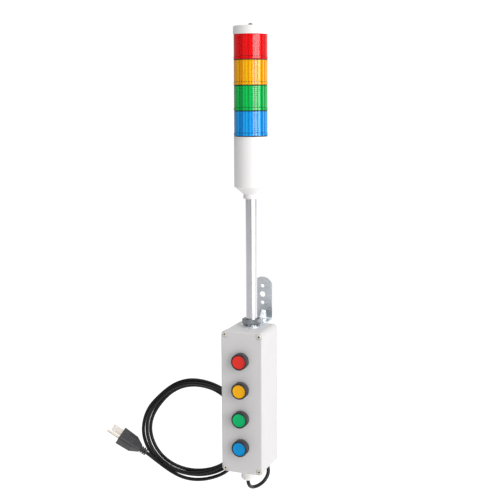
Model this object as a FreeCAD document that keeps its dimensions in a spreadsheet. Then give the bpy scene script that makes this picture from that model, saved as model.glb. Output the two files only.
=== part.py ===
"""Wall-mounted stack light: four lamp tiers on a pole, over a push-button box with a mains lead.

Frame: the origin is the centre of the bracket's middle hole, on the wall face. +Z is up, the
wall is the plane y = 0 and the buttons face -Y. All lengths are in millimetres.
"""
import FreeCAD, Part
import math
import os

import Sketcher
from FreeCAD import Placement, Rotation, Vector

os.makedirs("parts", exist_ok=True)
doc = FreeCAD.newDocument("StackLight")

# ---------------------------------------------------------------------------------------------
# Driving sizes: one cell each, with the same name in the sheet and in this script
# ---------------------------------------------------------------------------------------------
SIZES = {
    # wall bracket, bent from sheet
    "bracket_sheet": 3.0,
    "bracket_width": 35.0,
    "bracket_bend": 3.0,
    "foot_to_hole": 45.0,
    "hole_to_tip": 31.0,
    "wall_to_pole": 57.0,
    "wall_hole_pitch": 29.6,
    "wall_hole_bore": 6.4,
    "centre_hole_bore": 10.0,
    "gusset_width": 7.0,
    "gusset_reach": 15.0,
    # pole and what clamps it
    "pole_diameter": 20.0,
    "pole_bore": 14.0,
    "thread_diameter": 18.0,
    "thread_clearance": 0.25,
    "pole_nut_flats": 28.0,
    "pole_nut_height": 9.0,
    "tooth_washer_diameter": 30.0,
    "tooth_washer_sheet": 1.2,
    "tooth_washer_height": 2.4,
    "tooth_count": 15.0,
    "tooth_depth": 3.2,
    "locknut_flats": 24.0,
    "locknut_height": 4.5,
    # push-button enclosure
    "box_width": 73.4,
    "box_height": 246.0,
    "box_depth": 81.4,
    "box_front": 47.7,
    "box_corner": 7.5,
    "box_wall": 3.2,
    "lid_depth": 15.0,
    "lid_edge": 2.5,
    "lid_wall": 3.0,
    "lid_overhang": 0.5,
    "back_edge": 5.0,
    "corner_cut": 13.0,
    "screw_inset": 6.2,
    "screw_diameter": 3.5,
    "screw_head": 9.4,
    "screw_head_height": 2.2,
    "screw_length": 32.0,
    "screw_recess": 10.4,
    "cross_arm": 0.8,
    "cross_reach": 2.4,
    "screw_recess_depth": 2.6,
    "screw_clearance": 0.2,
    "gasket_width": 1.6,
    "gasket_height": 2.0,
    # push buttons
    "first_button": 48.5,
    "last_button": 47.5,
    "barrel_diameter": 22.0,
    "panel_clearance": 0.25,
    "barrel_length": 20.0,
    "bezel_diameter": 27.6,
    "bezel_height": 13.0,
    "bezel_seal": 1.0,
    "bezel_web": 3.0,
    "cap_diameter": 22.4,
    "cap_depth": 4.6,
    "cap_top": 2.4,
    "cap_set_back": 0.4,
    "stem_diameter": 11.0,
    "foot_diameter": 17.0,
    "foot_height": 2.6,
    "pusher_diameter": 7.0,
    "running_gap": 0.4,
    "press_travel": 3.6,
    "spring_wire": 0.8,
    "spring_turns": 3.0,
    "ring_nut_flats": 27.0,
    "ring_nut_height": 4.0,
    "block_width": 30.0,
    "block_length": 40.0,
    "block_depth": 27.0,
    "collar_height": 8.0,
    "collar_wall": 2.8,
    # lamp tower
    "neck_height": 7.3,
    "neck_diameter": 26.0,
    "cone_height": 12.7,
    "body_diameter": 56.0,
    "body_height": 83.0,
    "body_wall": 2.5,
    "tower_lift": 218.1,
    "pole_insert": 22.0,
    "slip_gap": 0.1,
    "tier_pitch": 41.1,
    "tier_seal": 1.7,
    "lens_diameter": 55.0,
    "lens_wall": 2.5,
    "lens_floor": 2.0,
    "lens_eye": 14.0,
    "rim_height": 4.0,
    "rim_proud": 0.5,
    "cap_height": 13.5,
    "cap_dome": 2.0,
    "tower_cap_diameter": 57.0,
    "rod_diameter": 4.0,
    "rod_head": 7.0,
    "lamp_core": 16.0,
    "lamp_disc": 1.6,
    "lamp_size": 5.0,
    # cable gland
    "gland_set_back": 31.0,
    "gland_shift": 1.5,
    "gland_thread": 18.6,
    "gland_flats": 22.0,
    "gland_hex_height": 5.5,
    "gland_spigot": 9.0,
    "dome_height": 17.3,
    "dome_diameter": 22.0,
    "dome_mouth": 9.0,
    # mains lead and its plug
    "cord_diameter": 6.4,
    "coil_radius": 84.0,
    "coil_stretch": 12.5,
    "coil_x": -127.5,
    "coil_z": -257.5,
    "coil_width": 18.0,
    "coil_thickness": 13.4,
    "coil_off_wall": 3.0,
    "plug_width": 25.0,
    "plug_height": 28.0,
    "plug_length": 45.0,
    "plug_tail": 16.0,
    "relief_length": 13.0,
    "relief_diameter": 13.5,
    "blade_spacing": 12.7,
    "blade_width": 6.35,
    "blade_sheet": 1.5,
    "blade_length": 20.5,
    "pin_offset": 11.9,
    "pin_diameter": 4.8,
    "pin_length": 25.0,
}
BUTTONS = ("red", "yellow", "green", "blue")
TIERS = ("red", "amber", "green", "blue")
MATING = 0.05
FULL_TURN = 360.0
NEARBY = 1e-6

sheet = doc.addObject("Spreadsheet::Sheet", "Sizes")
for row, (alias, value) in enumerate(SIZES.items(), start=1):
    sheet.set(f"A{row}", alias)
    sheet.set(f"B{row}", str(value))
    sheet.setAlias(f"B{row}", alias)
doc.recompute()


class Size:
    """A length with its value and the expression that ties it to the sheet."""

    def __init__(self, value, text):
        self.value = float(value)
        self.text = text

    def __add__(self, other):
        other = size(other)
        return Size(self.value + other.value, f"({self.text} + {other.text})")

    def __sub__(self, other):
        other = size(other)
        return Size(self.value - other.value, f"({self.text} - {other.text})")

    def __mul__(self, other):
        other = size(other)
        return Size(self.value * other.value, f"({self.text} * {other.text})")

    def __truediv__(self, other):
        other = size(other)
        return Size(self.value / other.value, f"({self.text} / {other.text})")

    def root(self):
        return Size(math.sqrt(self.value), f"sqrt({self.text})")

    def __neg__(self):
        return Size(-self.value, f"(0 - {self.text})")

    def __radd__(self, other):
        return size(other) + self

    def __rsub__(self, other):
        return size(other) - self

    def __rmul__(self, other):
        return size(other) * self


def size(number):
    """A plain number as a Size, so that sums may mix both."""
    if isinstance(number, Size):
        return number
    return Size(number, f"({number})" if number < 0 else str(number))


def named(alias):
    return Size(SIZES[alias], f"Sizes.{alias}")


def bind(item, prop, value):
    """Set a property and tie it to the sheet."""
    value = size(value)
    item.setExpression(prop, value.text)


def place(item, x=0, y=0, z=0, turn=None):
    """Put a finished sub-part at x, y, z with a fixed turn."""
    item.Placement = Placement(Vector(size(x).value, size(y).value, size(z).value), turn or Rotation())
    for axis, value in (("x", x), ("y", y), ("z", z)):
        if size(value).text != "0":
            bind(item, f"Placement.Base.{axis}", value)


# ---------------------------------------------------------------------------------------------
# Sketches and features
# ---------------------------------------------------------------------------------------------
def body_named(label):
    body = doc.addObject("PartDesign::Body", label)
    body.Label = label
    return body


def sketch_on(body, role, offset=0):
    """A sketch on one of the body's own origin planes, offset along the plane's normal."""
    sketch = body.newObject("Sketcher::SketchObject", f"{body.Name}_sketch")
    plane = next(item for item in body.Origin.OriginFeatures if item.Role == role)
    sketch.AttachmentSupport = [(plane, "")]
    sketch.MapMode = "FlatFace"
    if size(offset).value:
        bind(sketch, "AttachmentOffset.Base.z", offset)
    return sketch


def pin_point(sketch, edge, end, x, y):
    """Fix one end of an edge at x, y from the sketch's origin."""
    for kind, value, axis in (("DistanceX", x, -2), ("DistanceY", y, -1)):
        value = size(value)
        if value.text == "0":
            sketch.addConstraint(Sketcher.Constraint("PointOnObject", edge, end, axis))
            continue
        number = sketch.addConstraint(Sketcher.Constraint(kind, -1, 1, edge, end, value.value))
        bind(sketch, f"Constraints[{number}]", value)


def outline(sketch, points):
    """Draw a closed outline. A point is (x, y), or (x, y, rise) where the next edge is an arc.

    The rise is the arc's height over its chord, to the right of the way the outline runs.
    """
    count = len(points)
    first = sketch.GeometryCount
    starts = []
    ends = []
    for index, point in enumerate(points):
        x0, y0 = size(point[0]), size(point[1])
        x1, y1 = (size(value) for value in points[(index + 1) % count][:2])
        begin = Vector(x0.value, y0.value, 0)
        finish = Vector(x1.value, y1.value, 0)
        if len(point) == 2:
            sketch.addGeometry(Part.LineSegment(begin, finish), False)
            starts.append(1)
            ends.append(2)
            continue
        rise = size(point[2])
        run = finish - begin
        across = Vector(run.y, -run.x, 0).normalize()
        arc = Part.Arc(begin, (begin + finish) * 0.5 + across * rise.value, finish)
        edge = sketch.addGeometry(arc, False)
        forward = (sketch.Geometry[edge].StartPoint - begin).Length < NEARBY
        starts.append(1 if forward else 2)
        ends.append(2 if forward else 1)
        chord = ((x1 - x0) * (x1 - x0) + (y1 - y0) * (y1 - y0)).root()
        back = (chord * chord / 4 - rise * rise) / (rise * 2)
        if abs(run.y) > abs(run.x):
            centre = (x0 + x1) / 2 - (y1 - y0) / chord * back
            link = Sketcher.Constraint("DistanceX", -1, 1, edge, 3, centre.value)
        else:
            centre = (y0 + y1) / 2 + (x1 - x0) / chord * back
            link = Sketcher.Constraint("DistanceY", -1, 1, edge, 3, centre.value)
        bind(sketch, f"Constraints[{sketch.addConstraint(link)}]", centre)
    for index in range(count):
        follower = (index + 1) % count
        link = Sketcher.Constraint(
            "Coincident", first + index, ends[index], first + follower, starts[follower]
        )
        sketch.addConstraint(link)
        pin_point(sketch, first + index, starts[index], *points[index][:2])


def circle(sketch, diameter, x=0, y=0):
    radius = size(diameter) / 2
    edge = sketch.addGeometry(
        Part.Circle(Vector(size(x).value, size(y).value, 0), Vector(0, 0, 1), radius.value), False
    )
    number = sketch.addConstraint(Sketcher.Constraint("Radius", edge, radius.value))
    bind(sketch, f"Constraints[{number}]", radius)
    pin_point(sketch, edge, 3, x, y)


def rectangle(sketch, width, height, x=0, y=0):
    right, top = size(width) / 2, size(height) / 2
    x, y = size(x), size(y)
    corners = ((-1, -1), (1, -1), (1, 1), (-1, 1))
    outline(sketch, [(x + right * i, y + top * j) for i, j in corners])


def rounded(sketch, width, height, radius):
    """A rectangle about the origin with quarter-round corners."""
    right, top, radius = size(width) / 2, size(height) / 2, size(radius)
    rise = radius * (1 - math.sqrt(0.5))
    points = [
        (right - radius, -top, rise), (right, radius - top),
        (right, top - radius, rise), (right - radius, top),
        (radius - right, top, rise), (-right, top - radius),
        (-right, radius - top, rise), (radius - right, -top),
    ]
    outline(sketch, points)


def cut_cornered(sketch, width, height, cut):
    """A rectangle about the origin with straight cuts across its corners."""
    right, top, cut = size(width) / 2, size(height) / 2, size(cut)
    points = [
        (cut - right, -top), (right - cut, -top), (right, cut - top), (right, top - cut),
        (right - cut, top), (cut - right, top), (-right, top - cut), (-right, cut - top),
    ]
    outline(sketch, points)


def hexagon(sketch, flats, spin=0):
    """A hexagon about the origin, with a corner on +X when spin is 0."""
    corner = size(flats) / math.sqrt(3)
    angles = [math.radians(spin + 60 * step) for step in range(6)]
    outline(sketch, [(corner * round(math.cos(a), 9), corner * round(math.sin(a), 9)) for a in angles])


def settle(feature):
    """Recompute, and stop at the first feature that fails."""
    doc.recompute()
    if feature.Shape.isNull() or "Invalid" in feature.State:
        raise RuntimeError(f"{feature.Label} failed: {feature.State}")
    return feature


def pad(body, sketch, length, reverse=False, taper=None):
    feature = body.newObject("PartDesign::Pad", f"{body.Name}_pad")
    feature.Profile = sketch
    bind(feature, "Length", length)
    feature.Reversed = reverse
    if taper is not None:
        bind(feature, "TaperAngle", taper)
    return settle(feature)


def pocket(body, sketch, length, reverse=False):
    """Cut a sketch into the body, and stop if the cut removes nothing."""
    before = body.Shape.Volume
    feature = body.newObject("PartDesign::Pocket", f"{body.Name}_pocket")
    feature.Profile = sketch
    bind(feature, "Length", length)
    feature.Reversed = reverse
    settle(feature)
    if not body.Shape.Volume < before - NEARBY:
        raise RuntimeError(f"{feature.Name} cuts nothing")
    return feature


def revolve(body, sketch):
    feature = body.newObject("PartDesign::Revolution", f"{body.Name}_turn")
    feature.Profile = sketch
    feature.ReferenceAxis = (sketch, ["V_Axis"])
    feature.Angle = FULL_TURN
    return settle(feature)


FILLET = "PartDesign::Fillet"
CHAMFER = "PartDesign::Chamfer"


def round_edges(body, radius, wanted, kind=FILLET):
    """Fillet or chamfer the edges of the body for which wanted(edge) holds."""
    base = body.Tip
    names = [f"Edge{n}" for n, edge in enumerate(base.Shape.Edges, start=1) if wanted(edge)]
    feature = body.newObject(kind, f"{body.Name}_edge")
    feature.Base = (base, names)
    bind(feature, "Radius" if kind == FILLET else "Size", radius)
    return settle(feature)


def turned(label, profile):
    """A body turned about its own Z from (radius, height) points."""
    body = body_named(label)
    sketch = sketch_on(body, "XZ_Plane")
    outline(sketch, profile)
    revolve(body, sketch)
    return body


def group(label, members):
    """Several equal pieces that share one node."""
    compound = doc.addObject("Part::Compound", label)
    compound.Label = label
    compound.Links = members
    doc.recompute()
    return compound


def near(value, target, slack=1e-3):
    return abs(value - target) < slack


finished = []


def keep(item):
    """Count a sub-part as one that is written out."""
    finished.append(item)
    return item


def polar(body, feature, count):
    """Repeat a feature about the body's Z axis."""
    pattern = body.newObject("PartDesign::PolarPattern", f"{body.Name}_ring")
    pattern.Originals = [feature]
    axis = next(item for item in body.Origin.OriginFeatures if item.Role == "Z_Axis")
    pattern.Axis = (axis, [""])
    pattern.Angle = FULL_TURN
    bind(pattern, "Occurrences", count)
    body.Tip = pattern
    return settle(pattern)


# ---------------------------------------------------------------------------------------------
# Places that several sub-parts share
# ---------------------------------------------------------------------------------------------
pole_y = -named("wall_to_pole")
box_top = -named("foot_to_hole")
foot_top = box_top + named("bracket_sheet")
nut_foot = foot_top + named("tooth_washer_height")
nut_top = nut_foot + named("pole_nut_height")
thread_radius = named("thread_diameter") / 2
thread_hole = named("thread_diameter") + named("thread_clearance") * 2

base_width = named("box_width") - named("lid_overhang") * 2
base_height = named("box_height") - named("lid_overhang") * 2
base_depth = named("box_depth") - named("lid_depth")
box_middle = box_top - base_height / 2
box_bottom = box_top - base_height
lid_face = pole_y - named("box_front")
seam_y = lid_face + named("lid_depth")
box_back = seam_y + base_depth
cavity_width = base_width - named("box_wall") * 2
cavity_height = base_height - named("box_wall") * 2
screw_x = named("box_width") / 2 - named("screw_inset")
screw_z = named("box_height") / 2 - named("screw_inset")
screw_seat = named("lid_depth") - named("screw_recess_depth")
SCREW_CORNERS = ((1, 1), (-1, 1), (-1, -1), (1, -1))

tower_foot = box_top + named("tower_lift")
shell_height = named("neck_height") + named("cone_height") + named("body_height")
stack_foot = tower_foot + shell_height
stack_top = stack_foot + named("tier_pitch") * len(TIERS)
body_radius = named("body_diameter") / 2
lens_radius = named("lens_diameter") / 2
rod_radius = named("rod_diameter") / 2

OUTWARD = Rotation(Vector(1, 0, 0), 90)


def tier_foot(index):
    return stack_foot + named("tier_pitch") * index


def button_z(index):
    """The buttons share the lid's length between the first one and the last."""
    lid_top = box_top + named("lid_overhang")
    spacing = (named("box_height") - named("first_button") - named("last_button")) / (len(BUTTONS) - 1)
    return lid_top - named("first_button") - spacing * index


# ---------------------------------------------------------------------------------------------
# Wall bracket: one strip, bent square, with a pressed gusset across the bend
# ---------------------------------------------------------------------------------------------
def wall_bracket():
    body = body_named("wall_bracket")
    half = named("bracket_width") / 2
    gauge = named("bracket_sheet")
    low = box_top

    back = sketch_on(body, "XZ_Plane")
    shoulder = named("hole_to_tip") - half
    outline(back, [(-half, low), (half, low), (half, shoulder, half), (-half, shoulder)])
    pad(body, back, gauge)

    foot = sketch_on(body, "XY_Plane", low)
    outline(foot, [(half, 0), (-half, 0), (-half, pole_y, half), (half, pole_y)])
    pad(body, foot, gauge)

    inner = named("bracket_bend")
    round_edges(body, inner, lambda edge: at_line(edge, -gauge.value, foot_top.value))
    round_edges(body, inner + gauge, lambda edge: at_line(edge, 0, low.value))

    reach = named("gusset_reach")
    rib = sketch_on(body, "YZ_Plane", -named("gusset_width") / 2)
    corner_y = -gauge
    outline(rib, [(corner_y, foot_top), (corner_y, foot_top + reach), (corner_y - reach, foot_top)])
    pad(body, rib, named("gusset_width"))
    ridge = named("gusset_width").value / 2
    round_edges(body, named("gusset_width") * 0.28, lambda edge: gusset_edge(edge, ridge), CHAMFER)

    dent = sketch_on(body, "YZ_Plane", -named("gusset_width") / 4)
    pressed = reach * 0.55
    outline(dent, [(0, low), (-pressed, low), (0, low + pressed)])
    pocket(body, dent, named("gusset_width") / 2, reverse=True)

    holes = sketch_on(body, "XZ_Plane", gauge)
    circle(holes, named("centre_hole_bore"))
    for side in (-1, 1):
        circle(holes, named("wall_hole_bore"), 0, named("wall_hole_pitch") / 2 * side)
    pocket(body, holes, gauge)

    seat = sketch_on(body, "XY_Plane", foot_top)
    circle(seat, thread_hole, 0, pole_y)
    pocket(body, seat, gauge)
    return body


def at_line(edge, y, z):
    """True for a straight edge that runs along X at y, z."""
    points = [vertex.Point for vertex in edge.Vertexes]
    return len(points) == 2 and all(near(p.y, y) and near(p.z, z) for p in points)


def gusset_edge(edge, x):
    """True for the sloping edges of the gusset."""
    points = [vertex.Point for vertex in edge.Vertexes]
    if len(points) != 2 or not all(near(abs(p.x), x) for p in points):
        return False
    run = points[1] - points[0]
    return near(run.x, 0) and abs(run.y) > 1 and near(abs(run.y), abs(run.z), 0.5)


keep(wall_bracket())


# ---------------------------------------------------------------------------------------------
# Pole, with the nuts and the toothed washer that clamp it through bracket and box
# ---------------------------------------------------------------------------------------------
def hex_nut(label, flats, height, bore):
    body = body_named(label)
    sketch = sketch_on(body, "XY_Plane")
    hexagon(sketch, flats, 30)
    circle(sketch, bore)
    pad(body, sketch, height)
    return body


def pole():
    outer = named("pole_diameter") / 2
    inner = named("pole_bore") / 2
    end = foot_top - (box_top - named("box_wall") - named("locknut_height") - named("thread_diameter") / 6)
    shoulder = nut_top - foot_top + end
    tip = tower_foot + named("pole_insert") - foot_top + end
    body = turned("pole", [
        (inner, 0), (thread_radius, 0), (thread_radius, shoulder), (outer, shoulder),
        (outer, tip), (inner, tip),
    ])
    place(body, 0, pole_y, foot_top - end)
    return body


def tooth_washer():
    """A ring of sheet whose outer teeth are each twisted out of its plane."""
    gauge = named("tooth_washer_sheet")
    middle = named("tooth_washer_height") / 2
    inner = thread_hole / 2
    root = named("tooth_washer_diameter") / 2 - named("tooth_depth")
    low, high = middle - gauge / 2, middle + gauge / 2
    body = turned("tooth_washer", [(inner, low), (root, low), (root, high), (inner, high)])
    tooth = sketch_on(body, "XZ_Plane", root - gauge / 2)
    half = root * (math.pi * 0.62) / named("tooth_count")
    top = named("tooth_washer_height")
    outline(tooth, [(-half, 0), (half, top - gauge), (half, top), (-half, gauge)])
    first = pad(body, tooth, named("tooth_depth") + gauge / 2)
    polar(body, first, named("tooth_count"))
    place(body, 0, pole_y, foot_top)
    return body


nut_bore = named("thread_diameter") + MATING * 2
pole_nut = hex_nut("pole_nut", named("pole_nut_flats"), named("pole_nut_height"), nut_bore)
round_edges(pole_nut, named("pole_nut_height") / 12, lambda edge: len(edge.Vertexes) == 2
            and near(edge.Vertexes[0].Z, edge.Vertexes[1].Z), CHAMFER)
place(pole_nut, 0, pole_y, nut_foot)
pole_locknut = hex_nut("pole_locknut", named("locknut_flats"), named("locknut_height"), nut_bore)
place(pole_locknut, 0, pole_y, box_top - named("box_wall") - named("locknut_height"))
for item in (pole(), tooth_washer(), pole_nut, pole_locknut):
    keep(item)


# ---------------------------------------------------------------------------------------------
# Enclosure: a deep base, a front lid that overhangs its rim, a cord seal and four screws
# ---------------------------------------------------------------------------------------------
def seal_track(sketch, spread):
    """The cavity's outline, moved outwards by spread."""
    cut = named("corner_cut") + spread * (2 - math.sqrt(2))
    cut_cornered(sketch, cavity_width + spread * 2, cavity_height + spread * 2, cut)


def seal_groove(body, reverse):
    groove = sketch_on(body, "XZ_Plane")
    middle = named("box_wall") / 2
    seal_track(groove, middle - named("gasket_width") / 2)
    seal_track(groove, middle + named("gasket_width") / 2)
    pocket(body, groove, named("gasket_height") / 2, reverse)


def corner_circles(sketch, diameter):
    for i, j in SCREW_CORNERS:
        circle(sketch, diameter, screw_x * i, screw_z * j)


def enclosure_base():
    body = body_named("enclosure_base")
    shell = sketch_on(body, "XZ_Plane")
    rounded(shell, base_width, base_height, named("box_corner"))
    pad(body, shell, base_depth, reverse=True)
    rear = base_depth.value
    round_edges(body, named("back_edge"), lambda edge: near(edge.BoundBox.YMin, rear))

    cavity = sketch_on(body, "XZ_Plane")
    seal_track(cavity, size(0))
    pocket(body, cavity, base_depth - named("box_wall"))
    seal_groove(body, reverse=False)

    pilots = sketch_on(body, "XZ_Plane")
    corner_circles(pilots, named("screw_diameter") + MATING * 2)
    grip = named("screw_length") - screw_seat
    pocket(body, pilots, grip + named("screw_diameter") / 2)

    entry = sketch_on(body, "XY_Plane", base_height / 2)
    circle(entry, thread_hole, 0, pole_y - seam_y)
    pocket(body, entry, named("box_wall"))

    outlet = sketch_on(body, "XY_Plane", named("box_wall") - base_height / 2)
    circle(outlet, named("gland_thread") + named("thread_clearance") * 2, gland_x, gland_y - seam_y)
    pocket(body, outlet, named("box_wall"))
    place(body, 0, seam_y, box_middle)
    return body


def enclosure_lid():
    body = body_named("enclosure_lid")
    shell = sketch_on(body, "XZ_Plane")
    rounded(shell, named("box_width"), named("box_height"), named("box_corner"))
    pad(body, shell, named("lid_depth"))
    face = -named("lid_depth").value
    round_edges(body, named("lid_edge"), lambda edge: near(edge.BoundBox.YMax, face))

    cavity = sketch_on(body, "XZ_Plane")
    seal_track(cavity, size(0))
    pocket(body, cavity, named("lid_depth") - named("lid_wall"), reverse=True)
    seal_groove(body, reverse=True)

    openings = sketch_on(body, "XZ_Plane", named("lid_depth"))
    for index in range(len(BUTTONS)):
        hole = named("barrel_diameter") + named("panel_clearance") * 2
        circle(openings, hole, 0, button_z(index) - box_middle)
    pocket(body, openings, named("lid_wall"))

    sinks = sketch_on(body, "XZ_Plane", named("lid_depth"))
    corner_circles(sinks, named("screw_recess"))
    pocket(body, sinks, named("screw_recess_depth"))
    shanks = sketch_on(body, "XZ_Plane", named("lid_depth"))
    corner_circles(shanks, named("screw_diameter") + named("screw_clearance") * 2)
    pocket(body, shanks, named("lid_depth"))
    place(body, 0, seam_y, box_middle)
    return body


def lid_gasket():
    body = body_named("lid_gasket")
    sketch = sketch_on(body, "XZ_Plane", -named("gasket_height") / 2)
    middle = named("box_wall") / 2
    seal_track(sketch, middle - named("gasket_width") / 2)
    seal_track(sketch, middle + named("gasket_width") / 2)
    pad(body, sketch, named("gasket_height"))
    place(body, 0, seam_y, box_middle)
    return body


def cross_screw(label, x, z):
    """A pan-head screw with a cross recess, its head outwards."""
    shank = named("screw_diameter") / 2
    head = named("screw_head") / 2
    crown = named("screw_head_height")
    body = turned(label, [
        (0, -named("screw_length")), (shank, -named("screw_length")), (shank, 0),
        (head, 0), (head, crown * 0.5), (head * 0.62, crown), (0, crown),
    ])
    recess = sketch_on(body, "XY_Plane", crown)
    arm = named("cross_arm")
    reach = named("cross_reach")
    outline(recess, [
        (arm, -reach), (arm, -arm), (reach, -arm), (reach, arm), (arm, arm), (arm, reach),
        (-arm, reach), (-arm, arm), (-reach, arm), (-reach, -arm), (-arm, -arm), (-arm, -reach),
    ])
    pocket(body, recess, crown * 0.6)
    place(body, x, lid_face + named("screw_recess_depth"), z, OUTWARD)
    return body


gland_x = -named("gland_shift")
gland_y = lid_face + named("gland_set_back")
for item in (enclosure_base(), enclosure_lid(), lid_gasket()):
    keep(item)
lid_screws = [
    cross_screw(f"lid_screw_{n}", screw_x * i, box_middle + screw_z * j)
    for n, (i, j) in enumerate(SCREW_CORNERS, start=1)
]
keep(group("lid_screws", lid_screws))


# ---------------------------------------------------------------------------------------------
# Push buttons: bezel through the lid, ring nut behind it, sprung cap and contact block
# ---------------------------------------------------------------------------------------------
gap = named("running_gap")
cap_radius = named("cap_diameter") / 2
stem_radius = named("stem_diameter") / 2
barrel_radius = named("barrel_diameter") / 2
bezel_front = named("bezel_seal") + named("bezel_height")
cap_front = bezel_front - named("cap_set_back")
skirt_foot = cap_front - named("cap_depth")
bezel_floor = skirt_foot - named("press_travel") - gap
foot_head = bezel_floor - named("bezel_web") - gap


def bezel(colour, index):
    bore = stem_radius + gap
    chamber = named("foot_diameter") / 2 + gap
    rim = cap_radius + gap
    bezel_radius = named("bezel_diameter") / 2
    seal = named("bezel_seal")
    edge = (bezel_radius - rim) / 2
    under_web = bezel_floor - named("bezel_web")
    body = turned(f"bezel_{colour}", [
        (chamber, -named("barrel_length")), (barrel_radius, -named("barrel_length")),
        (barrel_radius, seal), (bezel_radius, seal), (bezel_radius, bezel_front - edge),
        (bezel_radius - edge, bezel_front), (rim, bezel_front), (rim, bezel_floor),
        (bore, bezel_floor), (bore, under_web), (chamber, under_web),
    ])
    place(body, 0, lid_face, button_z(index), OUTWARD)
    return body


def button(colour, index):
    """The moulded cap with its stem, the foot that stops it and the pusher behind."""
    dish = named("cap_top") / 4
    skirt = named("cap_top") * 0.65
    under_cap = cap_front - named("cap_top")
    foot = named("foot_diameter") / 2
    pusher = named("pusher_diameter") / 2
    foot_tail = foot_head - named("foot_height")
    end = -named("barrel_length") - gap
    body = turned(f"button_{colour}", [
        (0, end), (pusher, end), (pusher, foot_tail), (foot, foot_tail), (foot, foot_head),
        (stem_radius, foot_head), (stem_radius, under_cap), (cap_radius - skirt, under_cap),
        (cap_radius - skirt, skirt_foot), (cap_radius, skirt_foot), (cap_radius, cap_front - dish),
        (cap_radius - dish, cap_front), (cap_radius - dish * 4, cap_front),
        (cap_radius - dish * 5, cap_front - dish), (0, cap_front - dish * 1.4),
    ])
    place(body, 0, lid_face, button_z(index), OUTWARD)
    return body


def return_spring(colour, index):
    """A compression spring between the bezel's web and the underside of the cap."""
    wire = named("spring_wire")
    skirt = cap_radius - named("cap_top") * 0.65
    middle = (stem_radius + skirt) / 2
    free = cap_front - named("cap_top") - bezel_floor
    body = body_named(f"return_spring_{colour}")
    section = sketch_on(body, "XZ_Plane")
    rectangle(section, wire, wire, middle, bezel_floor + wire / 2)
    helix = body.newObject("PartDesign::AdditiveHelix", f"{body.Name}_helix")
    helix.Profile = section
    helix.ReferenceAxis = (section, ["V_Axis"])
    helix.Mode = "height-turns-angle"
    bind(helix, "Height", free - wire - gap / 2)
    bind(helix, "Turns", named("spring_turns"))
    settle(helix)
    place(body, 0, lid_face, button_z(index), OUTWARD)
    return body


def contact_block(colour, index):
    """A switch block whose collar clips over the end of the barrel."""
    body = body_named(f"contact_block_{colour}")
    face = -named("barrel_length")
    housing = sketch_on(body, "XY_Plane", face)
    rectangle(housing, named("block_width"), named("block_length"))
    pad(body, housing, named("block_depth"), reverse=True)
    collar = sketch_on(body, "XY_Plane", face)
    inside = named("barrel_diameter") + MATING * 2
    circle(collar, inside)
    circle(collar, inside + named("collar_wall") * 2)
    pad(body, collar, named("collar_height"))
    well = sketch_on(body, "XY_Plane", face)
    circle(well, named("pusher_diameter") + gap * 2)
    pocket(body, well, named("press_travel") + gap * 3)
    ends = sketch_on(body, "XY_Plane", face)
    slot = named("block_width") / 4
    for i in (-1, 1):
        for j in (-1, 1):
            x, y = named("block_width") / 4 * i, (named("block_length") - slot) / 2 * j
            rectangle(ends, slot, slot * 1.02, x, y)
    pocket(body, ends, slot)
    place(body, 0, lid_face, button_z(index), OUTWARD)
    return body


def bezel_gasket(index):
    ring = named("bezel_diameter") / 2 - named("bezel_seal")
    inner = barrel_radius + MATING
    seal = named("bezel_seal")
    body = turned(f"bezel_gasket_{index}", [(inner, 0), (ring, 0), (ring, seal), (inner, seal)])
    place(body, 0, lid_face, button_z(index), OUTWARD)
    return body


def ring_nut(index):
    nut = hex_nut(f"ring_nut_{index}", named("ring_nut_flats"), named("ring_nut_height"),
                  named("barrel_diameter") + MATING * 2)
    place(nut, 0, lid_face + named("lid_wall") + named("ring_nut_height"), button_z(index), OUTWARD)
    return nut


for index, colour in enumerate(BUTTONS):
    for make in (bezel, button, return_spring, contact_block):
        keep(make(colour, index))
keep(group("bezel_gaskets", [bezel_gasket(index) for index in range(len(BUTTONS))]))
keep(group("ring_nuts", [ring_nut(index) for index in range(len(BUTTONS))]))


# ---------------------------------------------------------------------------------------------
# Lamp tower: shell on the pole, four tiers with seals, cap and the rod that ties them
# ---------------------------------------------------------------------------------------------
deck_height = named("rim_height")
shell_bore = body_radius - named("body_wall")
board_seat = named("body_wall")


def tower_body():
    wall = named("body_wall")
    neck = named("neck_diameter") / 2
    socket = named("pole_diameter") / 2 + named("slip_gap")
    cone_foot = named("neck_height")
    shoulder = named("neck_height") + named("cone_height")
    stop = named("pole_insert")
    ledge = (stop + shell_height) / 2
    deck_foot = shell_height - deck_height
    line = wall / 4
    body = turned("tower_body", [
        (socket, 0), (neck, 0), (neck, cone_foot), (body_radius, shoulder),
        (body_radius, shell_height - line * 6), (body_radius - line, shell_height - line * 6),
        (body_radius - line, shell_height - line * 5), (body_radius, shell_height - line * 5),
        (body_radius, shell_height), (shell_bore + MATING, shell_height),
        (shell_bore + MATING, deck_foot), (shell_bore - wall / 2, deck_foot),
        (shell_bore - wall / 2, ledge), (shell_bore - wall, ledge),
        (shell_bore - wall, stop + wall), (named("pole_bore") / 2, stop + wall),
        (named("pole_bore") / 2, stop), (socket, stop),
    ])
    place(body, 0, pole_y, tower_foot)
    return body


def tower_deck():
    """The plate that closes the shell and takes the end of the tie rod."""
    body = turned("tower_deck", [
        (rod_radius + MATING, 0), (shell_bore, 0), (shell_bore, deck_height),
        (rod_radius + MATING, deck_height),
    ])
    place(body, 0, pole_y, stack_foot - deck_height)
    return body


def driver_board():
    stop = named("pole_insert")
    ledge = (stop + shell_height) / 2
    reach = shell_bore - named("body_wall") / 2 - named("slip_gap")
    wire_hole = named("pole_bore") / 4
    thickness = named("lamp_disc")
    body = turned("driver_board", [
        (wire_hole, 0), (reach, 0), (reach, thickness), (wire_hole, thickness),
    ])
    place(body, 0, pole_y, tower_foot + ledge)
    return body


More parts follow.
